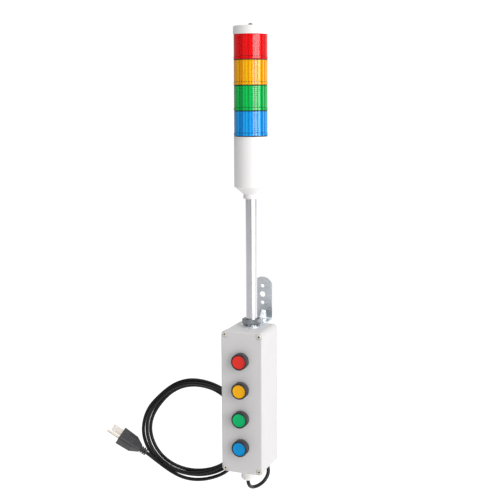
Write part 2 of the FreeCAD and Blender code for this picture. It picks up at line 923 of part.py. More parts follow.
def lens(colour, index):
    outer = lens_radius
    collar = lens_radius + named("rim_proud")
    inner = lens_radius - named("lens_wall")
    eye = named("lens_eye") / 2
    floor = named("lens_floor")
    top = named("tier_pitch") - named("tier_seal")
    body = turned(f"lens_{colour}", [
        (eye, 0), (collar, 0), (collar, named("rim_height")), (outer, named("rim_height")),
        (outer, top), (inner, top), (inner, floor), (eye, floor),
    ])
    place(body, 0, pole_y, tier_foot(index) + named("tier_seal"))
    return body


def tier_seal(index):
    outer = lens_radius - named("slip_gap")
    inner = lens_radius - named("lens_wall") * 1.6
    high = named("tier_seal")
    body = turned(f"tier_seal_{index}", [(inner, 0), (outer, 0), (outer, high), (inner, high)])
    place(body, 0, pole_y, tier_foot(index))
    return body


def lamp_board(colour, index):
    """A round board with a six-sided column that carries two rings of lamps."""
    body = body_named(f"lamp_board_{colour}")
    disc = named("lamp_disc")
    column = named("lamp_core")
    lamp = named("lamp_size")
    tall = named("tier_pitch") - named("tier_seal") - named("lens_floor") - disc * 4
    flat = sketch_on(body, "XY_Plane")
    circle(flat, (lens_radius - named("lens_wall") * 2) * 2)
    circle(flat, named("rod_diameter") + named("slip_gap") * 2)
    pad(body, flat, disc)
    core = sketch_on(body, "XY_Plane", disc)
    hexagon(core, column)
    circle(core, named("rod_diameter") + named("slip_gap") * 2)
    pad(body, core, tall - disc)
    lamps = sketch_on(body, "XZ_Plane", column / 2)
    for level in (1, 3):
        rectangle(lamps, lamp, lamp, 0, disc + (tall - disc) / 4 * level)
    first = pad(body, lamps, lamp / 4)
    polar(body, first, 6)
    place(body, 0, pole_y, tier_foot(index) + named("tier_seal") + named("lens_floor"))
    return body


def tower_cap():
    outer = named("tower_cap_diameter") / 2
    inner = lens_radius - named("lens_wall")
    high = named("cap_height")
    wall = named("body_wall")
    dome = named("cap_dome")
    eye = rod_radius + named("slip_gap")
    body = turned("tower_cap", [
        (inner, 0), (outer, 0), (outer, high - wall / 2), (outer - wall / 2, high),
        (eye, high + dome), (eye, high + dome - wall), (inner, high - wall),
    ])
    place(body, 0, pole_y, stack_top)
    return body


def tie_rod():
    head = named("rod_head") / 2
    length = stack_top + named("cap_height") + named("cap_dome") - (stack_foot - deck_height)
    crown = named("rod_diameter") / 2
    body = turned("tie_rod", [
        (0, 0), (rod_radius, 0), (rod_radius, length), (head, length),
        (head, length + crown / 2), (head / 2, length + crown), (0, length + crown),
    ])
    place(body, 0, pole_y, stack_foot - deck_height)
    return body


for item in (tower_body(), tower_deck(), driver_board(), tower_cap(), tie_rod()):
    keep(item)
for index, colour in enumerate(reversed(TIERS)):
    keep(lens(colour, index))
    keep(lamp_board(colour, index))
keep(group("tier_seals", [tier_seal(index) for index in range(len(TIERS))]))


# ---------------------------------------------------------------------------------------------
# Cable gland under the box
# ---------------------------------------------------------------------------------------------
gland_bore = named("cord_diameter") / 2 + named("slip_gap")
seal_radius = gland_bore * 2
tube_radius = seal_radius + named("box_wall") / 2
hex_high = named("gland_hex_height")
mouth = hex_high + named("dome_height")
dome_bend = hex_high + named("dome_height") * 0.45


def gland_body():
    """Threaded spigot and hexagon above, and below them the tube that grips the seal."""
    thread = named("gland_thread") / 2
    top = named("box_wall") + named("gland_spigot")
    tube_end = dome_bend
    body = turned("gland_body", [
        (gland_bore * 1.7, -hex_high), (seal_radius, -hex_high), (seal_radius, -tube_end),
        (tube_radius, -tube_end), (tube_radius, -hex_high), (named("gland_flats") / 2, -hex_high),
        (named("gland_flats") / 2, 0), (thread, 0), (thread, top), (gland_bore * 1.7, top),
    ])
    flange = sketch_on(body, "XY_Plane")
    hexagon(flange, named("gland_flats"))
    circle(flange, named("gland_flats") * 0.9)
    pad(body, flange, hex_high, reverse=True)
    place(body, gland_x, gland_y, box_bottom)
    return body


def gland_dome():
    outer = named("dome_diameter") / 2
    inner = tube_radius + MATING
    opening = named("dome_mouth") / 2
    wall = outer - inner
    body = turned("gland_dome", [
        (inner, -hex_high), (inner, -dome_bend), (opening, wall - mouth), (opening, -mouth),
        (opening + wall / 2, -mouth, wall * 0.9), (outer, -dome_bend), (outer, -hex_high),
    ])
    place(body, gland_x, gland_y, box_bottom)
    return body


def gland_seal():
    outer = seal_radius - MATING
    body = turned("gland_seal", [
        (gland_bore, -dome_bend), (outer, -dome_bend), (outer, -hex_high), (gland_bore, -hex_high),
    ])
    place(body, gland_x, gland_y, box_bottom)
    return body


gland_nut = hex_nut("gland_locknut", named("locknut_flats"), named("locknut_height"),
                    named("gland_thread") + MATING * 2)
place(gland_nut, gland_x, gland_y, box_bottom + named("box_wall"))
for item in (gland_body(), gland_dome(), gland_seal(), gland_nut):
    keep(item)


# ---------------------------------------------------------------------------------------------
# Mains lead: a tube from the gland, the coil's outer shape, a tube to the plug
# ---------------------------------------------------------------------------------------------
LEAD_ROUTE = [
    (-1.5, -73.7, -299.0),
    (-1.5, -73.7, -320.5),
    (-1.9, -57.5, -334.0),
    (5.3, -41.9, -336.5),
    (12.1, -24.4, -332.1),
    (16.7, -15.3, -318.1),
    (8.2, -9.8, -297.0),
    (-10.0, -9.5, -289.5),
    (-31.0, -9.5, -293.0),
    (-50.0, -9.7, -305.0),
    (-68.0, -9.8, -320.0),
]
TAIL_ROUTE = [
    (-84.0, -12.0, -334.0),
    (-106.0, -12.2, -347.0),
    (-131.0, -12.4, -354.5),
    (-157.0, -12.6, -353.5),
    (-181.0, -13.4, -344.0),
    (-203.5, -14.8, -330.0),
    (-225.0, -19.0, -313.5),
]
ARC_SHARE = 0.45
COIL_LEAN = 18.0


def tube_path(points):
    """Straight runs joined by tangent arcs, each as large as its two runs allow."""
    points = [Vector(*point) for point in points]
    edges = []
    radii = []
    last = points[0]
    for before, corner, after in zip(points, points[1:], points[2:]):
        into = (corner - before).normalize()
        out = (after - corner).normalize()
        turn = into.getAngle(out)
        reach = ARC_SHARE * min((corner - before).Length, (after - corner).Length)
        radius = reach / math.tan(turn / 2)
        radii.append(radius)
        start = corner - into * reach
        end = corner + out * reach
        bisector = (out - into).normalize()
        middle = corner + bisector * (radius / math.cos(turn / 2) - radius)
        edges.append(Part.LineSegment(last, start).toShape())
        edges.append(Part.Arc(start, middle, end).toShape())
        last = end
    edges.append(Part.LineSegment(last, points[-1]).toShape())
    return Part.Wire(edges), radii


def cord_tube(label, route):
    path, radii = tube_path(route)
    radius = SIZES["cord_diameter"] / 2
    start = path.Edges[0].Vertexes[0].Point
    heading = Vector(*route[1]) - Vector(*route[0])
    ring = Part.Wire([Part.makeCircle(radius, start, heading)])
    solid = path.makePipeShell([ring], True, False)
    expected = math.pi * radius * radius * path.Length
    if abs(solid.Volume - expected) > 0.02 * expected:
        raise RuntimeError(f"{label} has the volume {solid.Volume:.0f}, not {expected:.0f}")
    print(label, "length", round(path.Length, 1), "radii", [round(value, 1) for value in radii])
    item = doc.addObject("Part::Feature", label)
    item.Label = label
    item.Shape = solid
    return item


def cord_coil():
    """The closed outer shape of the wound turns, a flattened oval ring along the wall."""
    half = named("coil_stretch")
    thick = named("coil_thickness")
    body = body_named("cord_coil")
    section = sketch_on(body, "XZ_Plane")
    for side in (-1, 1):
        radius = named("coil_radius") + named("coil_width") / 2 * side
        outline(section, [
            (-half, -radius), (half, -radius, radius), (half, radius), (-half, radius, radius),
        ])
    pad(body, section, thick)
    round_edges(body, thick / 4, lambda edge: edge.BoundBox.YLength < NEARBY, CHAMFER)
    lean = Rotation(Vector(0, 1, 0), -COIL_LEAN)
    place(body, named("coil_x"), -named("coil_off_wall"), named("coil_z"), lean)
    return body


# ---------------------------------------------------------------------------------------------
# Plug: moulded body with its ribbed relief, two flat blades and a round earth pin
# ---------------------------------------------------------------------------------------------
PLUG_LEAN = 34.0
PLUG_TIP = 12.0
PLUG_ROLL = 27.0
plug_along = Rotation(Vector(0, 1, 0), PLUG_LEAN).multVec(Vector(-1, 0, 0))
plug_along = plug_along * math.cos(math.radians(PLUG_TIP)) - Vector(0, math.sin(math.radians(PLUG_TIP)), 0)
plug_side = Vector(0, -1, 0).cross(plug_along)
PLUG_TURN = Rotation(plug_side, plug_along.cross(plug_side), plug_along, "ZXY")
PLUG_TURN = PLUG_TURN.multiply(Rotation(Vector(0, 0, 1), -PLUG_ROLL))
PLUG_END = TAIL_ROUTE[-1]
plug_face = named("relief_length") + named("plug_length")
blade_row = -named("pin_offset") / 2


def place_plug(item):
    item.Placement = Placement(Vector(*PLUG_END), PLUG_TURN)
    return item


def plug_body():
    body = body_named("plug_body")
    relief = named("relief_length")
    wide, high = named("plug_width"), named("plug_height")
    stations = (
        (relief, wide * 0.52, high * 0.48, high * 0.2),
        (relief + named("plug_length") * 0.36, wide * 0.96, high * 0.94, high * 0.18),
        (plug_face, wide, high, high * 0.14),
    )
    sections = []
    for level, across, tall, corner in stations:
        sketch = sketch_on(body, "XY_Plane", level)
        rounded(sketch, across, tall, corner)
        sections.append(sketch)
    loft = body.newObject("PartDesign::AdditiveLoft", "plug_loft")
    loft.Profile = sections[0]
    loft.Sections = sections[1:]
    loft.Ruled = True
    settle(loft)

    thick = named("relief_diameter") / 2
    rings = 3
    step = relief / rings
    slim = named("cord_diameter") / 2
    profile = [(0, 0), (thick * 0.7, 0)]
    for ring in range(rings):
        profile.append((thick, step * ring + step * 0.15))
        profile.append((thick, step * ring + step * 0.65))
        profile.append((slim * 1.15, step * ring + step * 0.8))
    profile += [(thick, relief), (thick, relief + step), (0, relief + step)]
    neck = sketch_on(body, "XZ_Plane")
    outline(neck, profile)
    revolve(body, neck)

    panel_long = named("plug_length") * 0.34
    for side in (-1, 1):
        panel = sketch_on(body, "YZ_Plane", wide / 2 * side)
        centre = relief + named("plug_length") * 0.5
        rectangle(panel, high * 0.52, panel_long, 0, centre)
        pocket(body, panel, wide * 0.08, reverse=side < 0)
    return place_plug(body)


def plug_blade(side):
    body = body_named(f"plug_blade_{side}")
    sketch = sketch_on(body, "YZ_Plane", named("blade_spacing") / 2 * side - named("blade_sheet") / 2)
    half = named("blade_width") / 2
    long = named("blade_length")
    nip = named("blade_sheet")
    outline(sketch, [
        (blade_row - half, plug_face), (blade_row + half, plug_face),
        (blade_row + half, plug_face + long - nip), (blade_row + half - nip, plug_face + long),
        (blade_row - half + nip, plug_face + long), (blade_row - half, plug_face + long - nip),
    ])
    circle(sketch, half, blade_row, plug_face + long * 0.72)
    pad(body, sketch, named("blade_sheet"))
    return place_plug(body)


def earth_pin():
    body = body_named("earth_pin")
    radius = named("pin_diameter") / 2
    sketch = sketch_on(body, "XZ_Plane")
    tip = plug_face + named("pin_length")
    outline(sketch, [
        (0, plug_face), (radius, plug_face), (radius, tip - radius * 0.8, radius * 0.25),
        (radius * 0.3, tip), (0, tip),
    ])
    revolve(body, sketch)
    body.Placement = Placement(Vector(0, (blade_row + named("pin_offset")).value, 0), Rotation())
    body.Placement = Placement(Vector(*PLUG_END), PLUG_TURN).multiply(body.Placement)
    return body


keep(cord_tube("cord_lead", LEAD_ROUTE))
keep(cord_coil())
keep(cord_tube("cord_tail", TAIL_ROUTE))
keep(plug_body())
keep(group("plug_blades", [plug_blade(-1), plug_blade(1)]))
keep(earth_pin())


# ---------------------------------------------------------------------------------------------
# Check and write
# ---------------------------------------------------------------------------------------------
doc.recompute()
for item in doc.Objects:
    if "Invalid" in item.State or "Error" in item.State:
        raise RuntimeError(f"{item.Label} did not rebuild: {item.State}")
for item in finished:
    if item.Shape.isNull() or not item.Shape.isValid():
        raise RuntimeError(f"{item.Label} has no valid shape")
    item.Shape.exportStep(f"parts/{item.Label}.step")
print(f"{len(finished)} sub-parts written")
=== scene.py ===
# %% [markdown]
# # A stack light on its push-button box
#
# A stack light shows a machine's state from across a workshop. Four coloured lamps stand on a pole,
# a zinc-plated angle holds the pole to a wall, and a box with one button per lamp hangs below it.
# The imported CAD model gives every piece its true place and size. This lesson adds what the eye sees:
# ribbed lenses, knurled bezels, a cord, and a finish for each material.

# %% Load the frame
import math

import bpy
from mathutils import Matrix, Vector


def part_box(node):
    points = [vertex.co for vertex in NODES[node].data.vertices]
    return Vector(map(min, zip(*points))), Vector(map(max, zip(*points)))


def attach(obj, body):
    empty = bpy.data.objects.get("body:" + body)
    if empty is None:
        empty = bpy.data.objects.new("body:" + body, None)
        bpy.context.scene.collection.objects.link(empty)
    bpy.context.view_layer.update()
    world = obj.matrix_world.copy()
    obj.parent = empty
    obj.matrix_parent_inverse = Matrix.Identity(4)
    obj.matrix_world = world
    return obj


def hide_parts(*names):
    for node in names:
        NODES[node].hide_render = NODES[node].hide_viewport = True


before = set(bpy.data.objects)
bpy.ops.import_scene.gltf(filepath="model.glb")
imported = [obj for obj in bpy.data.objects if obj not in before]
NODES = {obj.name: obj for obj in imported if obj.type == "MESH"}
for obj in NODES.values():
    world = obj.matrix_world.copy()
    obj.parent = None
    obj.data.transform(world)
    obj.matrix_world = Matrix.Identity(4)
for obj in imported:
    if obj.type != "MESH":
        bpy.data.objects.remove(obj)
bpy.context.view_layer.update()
MM = 0.001

# %% [markdown]
# ## Camera
#
# A longer lens keeps the box and the tall tower nearly upright, as in a product picture. The camera
# stands to the right of the front, a little higher than the lamps, and looks slightly down.

# %% Camera
bpy.ops.object.camera_add(
    location=(0.58148, -1.57672, 0.34869),
    rotation=(math.radians(80.835), math.radians(0.229), math.radians(20.975)),
)
camera = bpy.context.object
camera.name = "camera"
camera.data.lens = 70.67
camera.data.sensor_width = 36.0
camera.data.clip_end = 30.0
bpy.context.scene.camera = camera
print("camera at", [round(c, 3) for c in camera.location])

# %% [markdown]
# ## Floor, lights and surroundings
#
# Glossy plastic and metal show whatever stands around them, so the surroundings matter as much as the
# lamps. A large soft box at the right is the key light, and a weak one stands overhead. Two things here
# aren't plain studio light. The floor paper glows a little, so that it reads as white. A third box, the
# sheen, stands in the key's place, is hidden from diffuse light and shines on the lenses only: it lends
# their highlight a strength that the key alone doesn't give. Leave it out for a plain studio.

# %% Floor
bpy.ops.object.select_all(action="DESELECT")
bpy.ops.mesh.primitive_grid_add(x_subdivisions=4, y_subdivisions=4, size=16.0, location=(0, 0, -0.75))
floor = bpy.context.object
floor.name = "studio_floor"
paper = bpy.data.materials.new("white_background_paper")
paper.use_nodes = True
paper_tree = paper.node_tree
paper_shader = paper_tree.nodes["Principled BSDF"]
paper_shader.inputs["Base Color"].default_value = (0.8, 0.8, 0.8, 1.0)
paper_shader.inputs["Roughness"].default_value = 0.9
paper_shader.inputs["Emission Color"].default_value = (1.0, 1.0, 1.0, 1.0)
ground = paper_tree.nodes.new("ShaderNodeTexCoord")
ground_parts = paper_tree.nodes.new("ShaderNodeSeparateXYZ")
paper_tree.links.new(ground.outputs["Object"], ground_parts.inputs[0])
glow = paper_tree.nodes.new("ShaderNodeMapRange")
glow.interpolation_type = "SMOOTHSTEP"
glow.inputs[1].default_value = -0.5
glow.inputs[2].default_value = 0.8
glow.inputs[4].default_value = 0.48
paper_tree.links.new(ground_parts.outputs["Y"], glow.inputs[0])
paper_tree.links.new(glow.outputs[0], paper_shader.inputs["Emission Strength"])
floor.data.materials.append(paper)
print("floor at z", floor.location.z)


# %% Soft boxes
def soft_box(name, azimuth, elevation, distance, width, power):
    """A square area light aimed at the box, placed by its direction from the front."""
    turn, rise = math.radians(azimuth), math.radians(elevation)
    target = Vector((0.0, -0.06, 0.05))
    away = Vector((math.sin(turn) * math.cos(rise), -math.cos(turn) * math.cos(rise), math.sin(rise)))
    bpy.ops.object.light_add(type="AREA", location=target + away * distance)
    light = bpy.context.object
    light.name = name
    light.rotation_euler = away.to_track_quat("Z", "Y").to_euler()
    light.data.shape = "SQUARE"
    light.data.size = width
    light.data.energy = power
    return light


KEY_TURN, KEY_RISE = 62, 12
key = soft_box("key_soft_box", azimuth=KEY_TURN, elevation=KEY_RISE, distance=1.9, width=1.85, power=22.5)
top = soft_box("top_soft_box", azimuth=-20, elevation=70, distance=2.0, width=1.2, power=1.5)
sheen = soft_box("key_sheen", azimuth=KEY_TURN, elevation=KEY_RISE, distance=1.88, width=1.7, power=70.0)
# White plastic and bright metal would burn out under the sheen, so it is linked to the lenses below.
sheen.visible_diffuse = False
print("lights:", [light.name for light in (key, top, sheen)])


# %% [markdown]
# ## Two helpers for materials
#
# Colours are written as the hex values a painter would read off a colour card. Shaders add light, so
# they need linear values. The second helper adds one node, with its settings and its links, to a tree.

# %% Colour and node helpers
def linear(hex_colour):
    """An sRGB hex colour as linear red, green, blue and alpha."""
    values = [int(hex_colour[i:i + 2], 16) / 255 for i in (0, 2, 4)]
    return tuple(v / 12.92 if v <= 0.04045 else ((v + 0.055) / 1.055) ** 2.4 for v in values) + (1.0,)


def add(tree, kind, settings=None, inputs=None):
    """Adds a node. An input is a number, a colour or another node's output."""
    node = tree.nodes.new(kind)
    for name, value in (settings or {}).items():
        setattr(node, name, value)
    for name, value in (inputs or {}).items():
        if isinstance(value, bpy.types.NodeSocket):
            tree.links.new(value, node.inputs[name])
        else:
            node.inputs[name].default_value = value
    return node


print("mid grey in linear light:", round(linear("808080")[0], 3))


# %% [markdown]
# ## The studio around the object
#
# The surroundings are brightest behind the object, so the background is plain white. Round the compass
# their brightness follows a table: dim in front, where the photographer's dark screens stand, and bright
# at the right and the back. Overhead one soft ceiling has a brightness of its own.

# %% Surroundings
CEILING = 0.9
# Compass angle in degrees, 0 in front and 90 at the right, with the brightness there.
STUDIO = [
    (-180, 0.8), (-135, 0.5), (-95, 0.26), (-60, 0.16), (-35, 0.2), (-15, 0.5), (5, 0.2), (25, 0.25),
    (45, 1.3), (70, 1.4), (100, 0.4), (135, 0.4), (180, 0.8),
]
world = bpy.data.worlds.new("white_studio")
bpy.context.scene.world = world
world.use_nodes = True
sky = world.node_tree
direction = add(sky, "ShaderNodeTexCoord").outputs["Generated"]
parts = add(sky, "ShaderNodeSeparateXYZ", None, {0: direction})
ahead = add(sky, "ShaderNodeMath", {"operation": "MULTIPLY"}, {0: parts.outputs["Y"], 1: -1.0})
compass = add(sky, "ShaderNodeMath", {"operation": "ARCTAN2"}, {0: parts.outputs["X"], 1: ahead.outputs[0]})
turn = add(sky, "ShaderNodeMapRange", None, {0: compass.outputs[0], 1: -math.pi, 2: math.pi})
studio = add(sky, "ShaderNodeValToRGB", None, {0: turn.outputs[0]})
ramp = studio.color_ramp
for angle, level in STUDIO[1:-1]:
    ramp.elements.new((angle + 180) / 360)
for element, (angle, level) in zip(ramp.elements, STUDIO):
    element.position = (angle + 180) / 360
    element.color = (level / 2, level / 2, level / 2, 1.0)
overhead = add(sky, "ShaderNodeMapRange", {"interpolation_type": "SMOOTHSTEP"},
               {0: parts.outputs["Z"], 1: 0.5, 2: 0.85})
dome = add(sky, "ShaderNodeMix", {"data_type": "RGBA"},
           {0: overhead.outputs[0], 6: studio.outputs["Color"],
            7: (CEILING / 2, CEILING / 2, CEILING / 2, 1.0)})
background = sky.nodes["Background"]
background.inputs["Strength"].default_value = 2.0
sky.links.new(dome.outputs[2], background.inputs["Color"])
backdrop = add(sky, "ShaderNodeBackground", None, {"Color": (1.0, 1.0, 1.0, 1.0), "Strength": 1.05})
seen = add(sky, "ShaderNodeLightPath").outputs["Is Camera Ray"]
both = add(sky, "ShaderNodeMixShader", None,
           {0: seen, 1: background.outputs[0], 2: backdrop.outputs[0]})
sky.links.new(both.outputs[0], sky.nodes["World Output"].inputs["Surface"])
bpy.context.scene.view_settings.view_transform = "Standard"
print("studio steps:", len(ramp.elements))

# %% [markdown]
# ## Materials
#
# Each material is named for the real stuff and the way its surface was made. They all start the same
# way: a Principled shader and the Object coordinates of the piece, which are metres in the shared frame.
# Then each gets its own pattern. `start` prepares that, and `uneven` is the one pattern that all of them
# share: a slow drift of colour, because no moulding, plating or drawn tube is one flat colour.


# %% Start of a material
def start(name, roughness, metallic=0.0):
    """A new material: its tree, its shader and the place of each point in metres."""
    material = bpy.data.materials.new(name)
    material.use_nodes = True
    tree = material.node_tree
    shader = tree.nodes["Principled BSDF"]
    shader.inputs["Roughness"].default_value = roughness
    shader.inputs["Metallic"].default_value = metallic
    place = add(tree, "ShaderNodeTexCoord").outputs["Object"]
    return material, tree, shader, place


def uneven(tree, shader, place, dark, light, size_mm):
    """Base colour that drifts between two hex colours over about size_mm."""
    cloud = add(tree, "ShaderNodeTexNoise", None, {"Vector": place, "Scale": 1 / (size_mm * MM)})
    mix = add(tree, "ShaderNodeMix", {"data_type": "RGBA"},
              {0: cloud.outputs["Fac"], 6: linear(dark), 7: linear(light)})
    tree.links.new(mix.outputs[2], shader.inputs["Base Color"])
    return mix.outputs[2]


def rough_up(tree, shader, height, depth_mm):
    """Turns a grey pattern into fine relief."""
    bump = add(tree, "ShaderNodeBump", None, {"Height": height, "Distance": depth_mm * MM, "Strength": 1.0})
    tree.links.new(bump.outputs[0], shader.inputs["Normal"])
    return bump


print("helpers ready")


# %% [markdown]
# Moulded plastics differ in colour, gloss and the texture of the mould. ABS boxes are spark-eroded to a
# fine matt grain, the lamp tower is polished, and glass-filled nylon is dull because its fibres lie in
# the skin. One function with those three values makes all of them.

# %% Moulded plastics
def moulded(name, dark, light, roughness, grain_mm, depth_mm):
    """An injection-moulded plastic with the grain of its mould."""
    material, tree, shader, place = start(name, roughness)
    uneven(tree, shader, place, dark, light, 35)
    grain = add(tree, "ShaderNodeTexNoise", None,
                {"Vector": place, "Scale": 1 / (grain_mm * MM), "Detail": 3.0, "Roughness": 0.6})
    rough_up(tree, shader, grain.outputs["Fac"], depth_mm)
    shader.inputs["IOR"].default_value = 1.5
    return material


# Light grey ABS: the box. Its grain is about 0.8 mm, and it scatters light evenly.
box_abs = moulded("abs_light_grey_spark_textured", "d8d6d6", "dedcdc", 0.52, 0.8, 0.02)
# Polished white ABS: the tower. Smooth enough to show a soft reflection of the studio.
tower_abs = moulded("abs_white_polished", "eeeceb", "f4f3f3", 0.4, 3.0, 0.01)
# White polyamide: the cable gland. Waxy and slightly warm.
gland_nylon = moulded("polyamide_white", "ecebe8", "f4f3f1", 0.38, 1.2, 0.02)
# Charcoal glass-filled nylon: the bezels. The fibres leave a dull, slightly grey skin.
bezel_nylon = moulded("nylon_glass_filled_charcoal", "3a393d", "49484d", 0.42, 0.5, 0.04)
# The same nylon polished on the bezel's front edge, where it looks nearly black.
bezel_edge = moulded("nylon_polished_black", "17171a", "222226", 0.22, 0.8, 0.01)
# Black polyamide: contact blocks behind the lid.
contact_nylon = moulded("polyamide_black", "1c1c1e", "28282b", 0.45, 0.8, 0.02)
# Grey-black vinyl: the plug, moulded over the cord. Soft, with a faint bloom.
plug_vinyl = moulded("pvc_plug_moulded_charcoal", "38373a", "48474a", 0.34, 1.5, 0.03)
# EPDM rubber: seals and gaskets. Almost black and quite matt.
seal_rubber = moulded("epdm_rubber_black", "131315", "1c1c1f", 0.7, 0.6, 0.02)
CAPS = {
    "red": ("e42e26", "f03a30"),
    "yellow": ("fcb00a", "ffc01a"),
    "green": ("00b064", "04c478"),
    "blue": ("0088cc", "069ce2"),
}
# Polycarbonate caps: coloured through, with a satin face that reflects little.
cap_plastic = {
    colour: moulded(f"polycarbonate_satin_{colour}", dark, light, 0.34, 1.0, 0.01)
    for colour, (dark, light) in CAPS.items()
}
for material in cap_plastic.values():
    material.node_tree.nodes["Principled BSDF"].inputs["Specular IOR Level"].default_value = 0.2
print("moulded plastics:", 8 + len(cap_plastic))

# %% [markdown]
# Metals: the pole is a drawn and anodised aluminium tube, with faint lines along its length. The angle
# and the toothed washer are zinc plated, and zinc grows in crystals that catch the light one by one. A
# Voronoi pattern gives those crystals. Nuts, plug blades and screws are smoother, nickel or bright zinc.


# %% Metals
def plated(name, dark, light, roughness, crystal_mm, contrast):
    """A plated metal: crystals that differ a little in brightness and roughness."""
    material, tree, shader, place = start(name, roughness, metallic=1.0)
    tint = uneven(tree, shader, place, dark, light, 9)
    crystals = add(tree, "ShaderNodeTexVoronoi", None,
                   {"Vector": place, "Scale": 1 / (crystal_mm * MM), "Randomness": 1.0})
    level = add(tree, "ShaderNodeMapRange", None,
                {0: crystals.outputs["Color"], 3: roughness - contrast, 4: roughness + contrast})
    tree.links.new(level.outputs[0], shader.inputs["Roughness"])
    shade = add(tree, "ShaderNodeMapRange", None,
                {0: crystals.outputs["Color"], 3: 1 - contrast, 4: 1.0})
    dim = add(tree, "ShaderNodeMix", {"data_type": "RGBA", "blend_type": "MULTIPLY"},
              {0: 1.0, 6: tint, 7: shade.outputs[0]})
    tree.links.new(dim.outputs[2], shader.inputs["Base Color"])
    return material


def drawn(name, dark, light, roughness, line_mm, axis_scale):
    """A metal drawn or turned in one direction: fine lines along it."""
    material, tree, shader, place = start(name, roughness, metallic=1.0)
    uneven(tree, shader, place, dark, light, 40)
    along = add(tree, "ShaderNodeMapping", None, {"Vector": place, "Scale": axis_scale})
    lines = add(tree, "ShaderNodeTexNoise", None,
                {"Vector": along.outputs[0], "Scale": 1 / (line_mm * MM), "Detail": 2.0})
    rough_up(tree, shader, lines.outputs["Fac"], 0.01)
    return material


# Clear-anodised aluminium: satin, a little cloudy, with drawing lines along the pole.
pole_aluminium = drawn("aluminium_drawn_anodised", "e2e1e6", "f1f0f4", 0.2, 0.6, (1, 1, 0.01))
# Blue-passivated zinc on steel: a cool grey with small bright crystals.
zinc = plated("zinc_blue_passivated_steel", "dbe4ec", "fafdff", 0.33, 1.6, 0.1)
# Bright nickel: the hexagon nuts.
nickel = plated("nickel_bright_plated", "7c8086", "a8acb0", 0.12, 2.5, 0.04)
# Nickel-plated brass: blades and earth pin, a little warm in colour.
blade_nickel = plated("nickel_plated_brass", "f0e4d4", "fbf6ef", 0.3, 3.0, 0.05)
# Zinc-plated screw steel: a dull, dark grey with small crystals. It dresses the tie rod.
screw_zinc = plated("zinc_plated_screw", "4a443c", "6f675c", 0.4, 0.8, 0.1)
# Cream polyamide: the lid screws. Painted shade: every point more than 1.12 mm behind the front of the
# heads, the floor of the cross recess and the side of each head, is painted dark brown.
screw_nylon, tree, shader, place = start("polyamide_cream_screw", 0.42)
deep = add(tree, "ShaderNodeSeparateXYZ", None, {0: place})
sunk = add(tree, "ShaderNodeMath", {"operation": "GREATER_THAN"},
           {0: deep.outputs["Y"], 1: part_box("lid_screws")[0].y + 1.12 * MM})
cream = uneven(tree, shader, place, "e6e1d6", "f2eee6", 4)
# Painted shade: the deep points take a dark brown in place of the cream.
painted_recess_shade = add(tree, "ShaderNodeMix", {"data_type": "RGBA"},
            {0: sunk.outputs[0], 6: cream, 7: linear("3a322c")})
tree.links.new(painted_recess_shade.outputs[2], shader.inputs["Base Color"])
# Drawn spring wire.
spring_wire = drawn("spring_steel_drawn", "8c8c8e", "b0b0b2", 0.25, 0.3, (1, 1, 1))
print("metals and screws:", 7)

# %% [markdown]
# A real lamp lens is clear polycarbonate, coloured through. Inside it, upright prisms of uneven width
# spread the light, so dark lines and bright bands stand side by side. Near its foot the dark lugs of the
# tier below show through. Clear plastic would need many light bounces to show this, so the bands are
# drawn in the colour instead, and this material lets no light through: the lamp board behind it can't be
# seen. The bands follow the angle round the pole, which comes from the arctangent of the place, so they
# turn with the lens and not with the camera.
#
# Lens, cap and cord jacket reflect less than the real plastics do (Specular IOR Level 0.22, 0.2 and 0.35,
# where 0.5 is the physical value). That keeps their colours deep under this studio's bright surroundings.

# %% Lens plastic
POLE_Y = (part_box("pole")[0].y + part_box("pole")[1].y) / 2
PRISMS = 34
LUGS = 40
LENSES = {
    "red": ("9c0008", "e20006", "ff040c"),
    "amber": ("cc6400", "f29c00", "ffc800"),
    "green": ("005c24", "00a446", "00d45c"),
    "blue": ("0050a8", "0088dc", "1cb0fa"),
}


